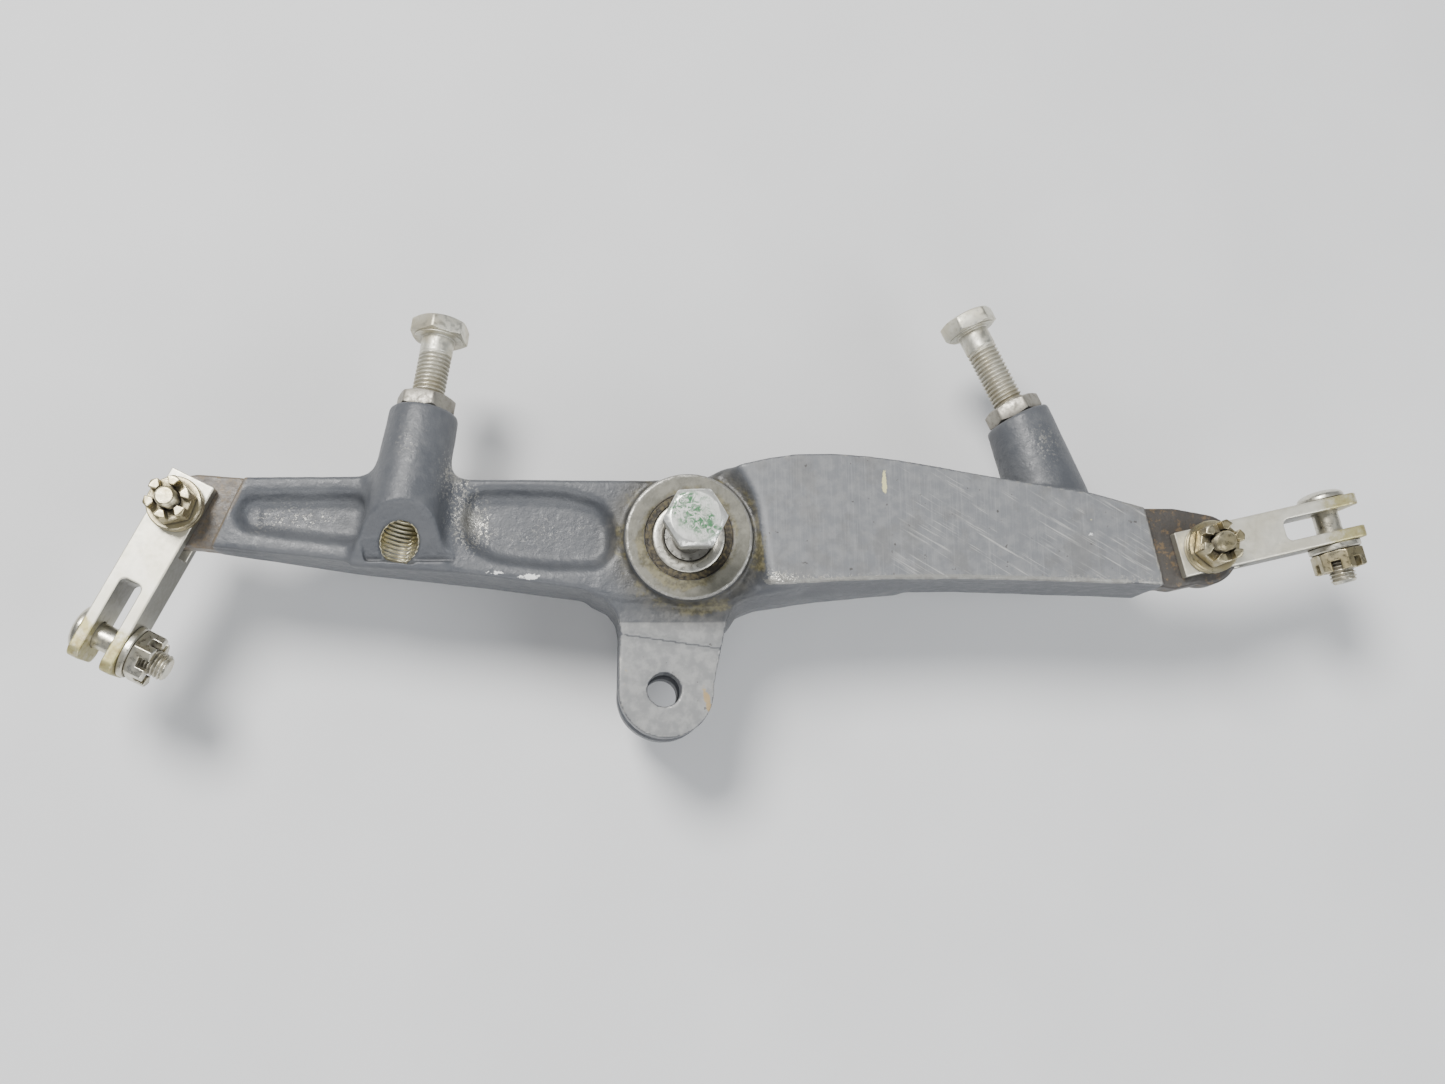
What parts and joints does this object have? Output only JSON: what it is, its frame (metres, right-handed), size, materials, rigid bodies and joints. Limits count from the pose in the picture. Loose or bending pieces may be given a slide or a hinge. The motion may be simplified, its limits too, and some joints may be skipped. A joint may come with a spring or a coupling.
{
  "type": "bellcrank",
  "caption": "Cast control bellcrank on a ball-bearing pivot bolt, with adjustable stop screws, a forked pushrod lug and a double-clevis link on each arm tip.",
  "frame": {"origin": "pivot axis at the lower face of the hub", "axes": "+Z along the pivot bolt towards its head, +X towards the thick arm, +Y towards the stop bolts"},
  "size_m": [0.3099, 0.1092, 0.0678],
  "materials": {
    "cast_paint": "blue-grey paint over an aluminium casting, worn at its edges",
    "link_plate": "pale cadmium-plated steel",
    "cadmium": "pale yellow cadmium plate",
    "stop_steel": "dull ivory-grey cadmium plate",
    "jam_steel": "tan-grey plate, partly painted over",
    "bolt_steel": "bright plated steel",
    "bearing_steel": "ground bearing steel",
    "shield_steel": "pressed bearing shield",
    "bush_bronze": "plain bronze bush"
  },
  "bodies": {
    "pivot": {"pivot_bolt": "bolt_steel", "upper_inner_race": "bearing_steel", "lower_inner_race": "bearing_steel", "race_spacer": "bearing_steel"},
    "crank": {"bellcrank_casting": "cast_paint", "upper_outer_race": "bearing_steel", "lower_outer_race": "bearing_steel", "upper_shields": "shield_steel", "lower_shields": "shield_steel", "left_arm_bush": "bush_bronze", "right_arm_bush": "bush_bronze"},
    "ball_set": {"upper_balls": "bearing_steel", "lower_balls": "bearing_steel"},
    "left_stop_screw": {"left_stop_bolt": "stop_steel"},
    "left_jam": {"left_stop_jam_nut": "jam_steel"},
    "left_link_body": {"left_link": "link_plate"},
    "left_arm_pin": {"left_arm_bolt": "cadmium", "left_arm_washers": "cadmium", "left_arm_castle_nut": "cadmium"},
    "left_clevis_pin": {"left_clevis_bolt": "cadmium", "left_clevis_washer": "cadmium", "left_clevis_nut": "cadmium"},
    "right_stop_screw": {"right_stop_bolt": "stop_steel"},
    "right_jam": {"right_stop_jam_nut": "jam_steel"},
    "right_link_body": {"right_link": "link_plate"},
    "right_arm_pin": {"right_arm_bolt": "cadmium", "right_arm_washers": "cadmium", "right_arm_castle_nut": "cadmium"},
    "right_clevis_pin": {"right_clevis_bolt": "cadmium", "right_clevis_washer": "cadmium", "right_clevis_nut": "cadmium"}
  },
  "joints": [
    {"name": "crank_swing", "type": "hinge", "parent": "pivot", "child": "crank", "pos_m": [0, 0, 0], "axis": [0, 0, 1], "range_deg": [-35, 35]},
    {"name": "ball_roll", "type": "hinge", "parent": "pivot", "child": "ball_set", "pos_m": [0, 0, 0], "axis": [0, 0, 1], "range_deg": [-22, 22]},
    {"name": "left_stop_advance", "type": "slide", "parent": "crank", "child": "left_stop_screw", "axis": [0.1463, 0.9816, -0.1227], "range_m": [-0.013, 0.012]},
    {"name": "right_stop_advance", "type": "slide", "parent": "crank", "child": "right_stop_screw", "axis": [-0.4097, 0.9113, -0.04], "range_m": [-0.0055, 0.012]},
    {"name": "left_jam_turn", "type": "hinge", "parent": "crank", "child": "left_jam", "pos_m": [-0.0626, 0.0307, 0.022], "axis": [0.1463, 0.9816, -0.1227], "continuous": true},
    {"name": "right_jam_turn", "type": "hinge", "parent": "crank", "child": "right_jam", "pos_m": [0.0842, 0.0327, 0.014], "axis": [-0.4097, 0.9113, -0.04], "continuous": true},
    {"name": "left_link_swing", "type": "hinge", "parent": "crank", "child": "left_link_body", "pos_m": [-0.1185, 0.0079, 0.01783], "axis": [0, 0, 1], "range_deg": [-145, 32]},
    {"name": "right_link_swing", "type": "hinge", "parent": "crank", "child": "right_link_body", "pos_m": [0.126, -0.0029, 0.02162], "axis": [0, 0, 1], "range_deg": [-100, 78]},
    {"name": "left_arm_pin_turn", "type": "hinge", "parent": "left_link_body", "child": "left_arm_pin", "pos_m": [-0.1185, 0.0079, 0.01783], "axis": [0, 0, 1], "continuous": true},
    {"name": "right_arm_pin_turn", "type": "hinge", "parent": "right_link_body", "child": "right_arm_pin", "pos_m": [0.126, -0.0029, 0.02162], "axis": [0, 0, 1], "continuous": true},
    {"name": "left_clevis_pin_turn", "type": "hinge", "parent": "left_link_body", "child": "left_clevis_pin", "pos_m": [-0.13403, -0.02257, 0.01783], "axis": [0.891, -0.454, 0], "continuous": true},
    {"name": "right_clevis_pin_turn", "type": "hinge", "parent": "right_link_body", "child": "right_clevis_pin", "pos_m": [0.15939, 0.0045, 0.02162], "axis": [0.2164, -0.9763, 0], "continuous": true}
  ],
  "couplings": [
    {"joint": "ball_roll", "follows": "crank_swing", "ratio": 0.604}
  ]
}
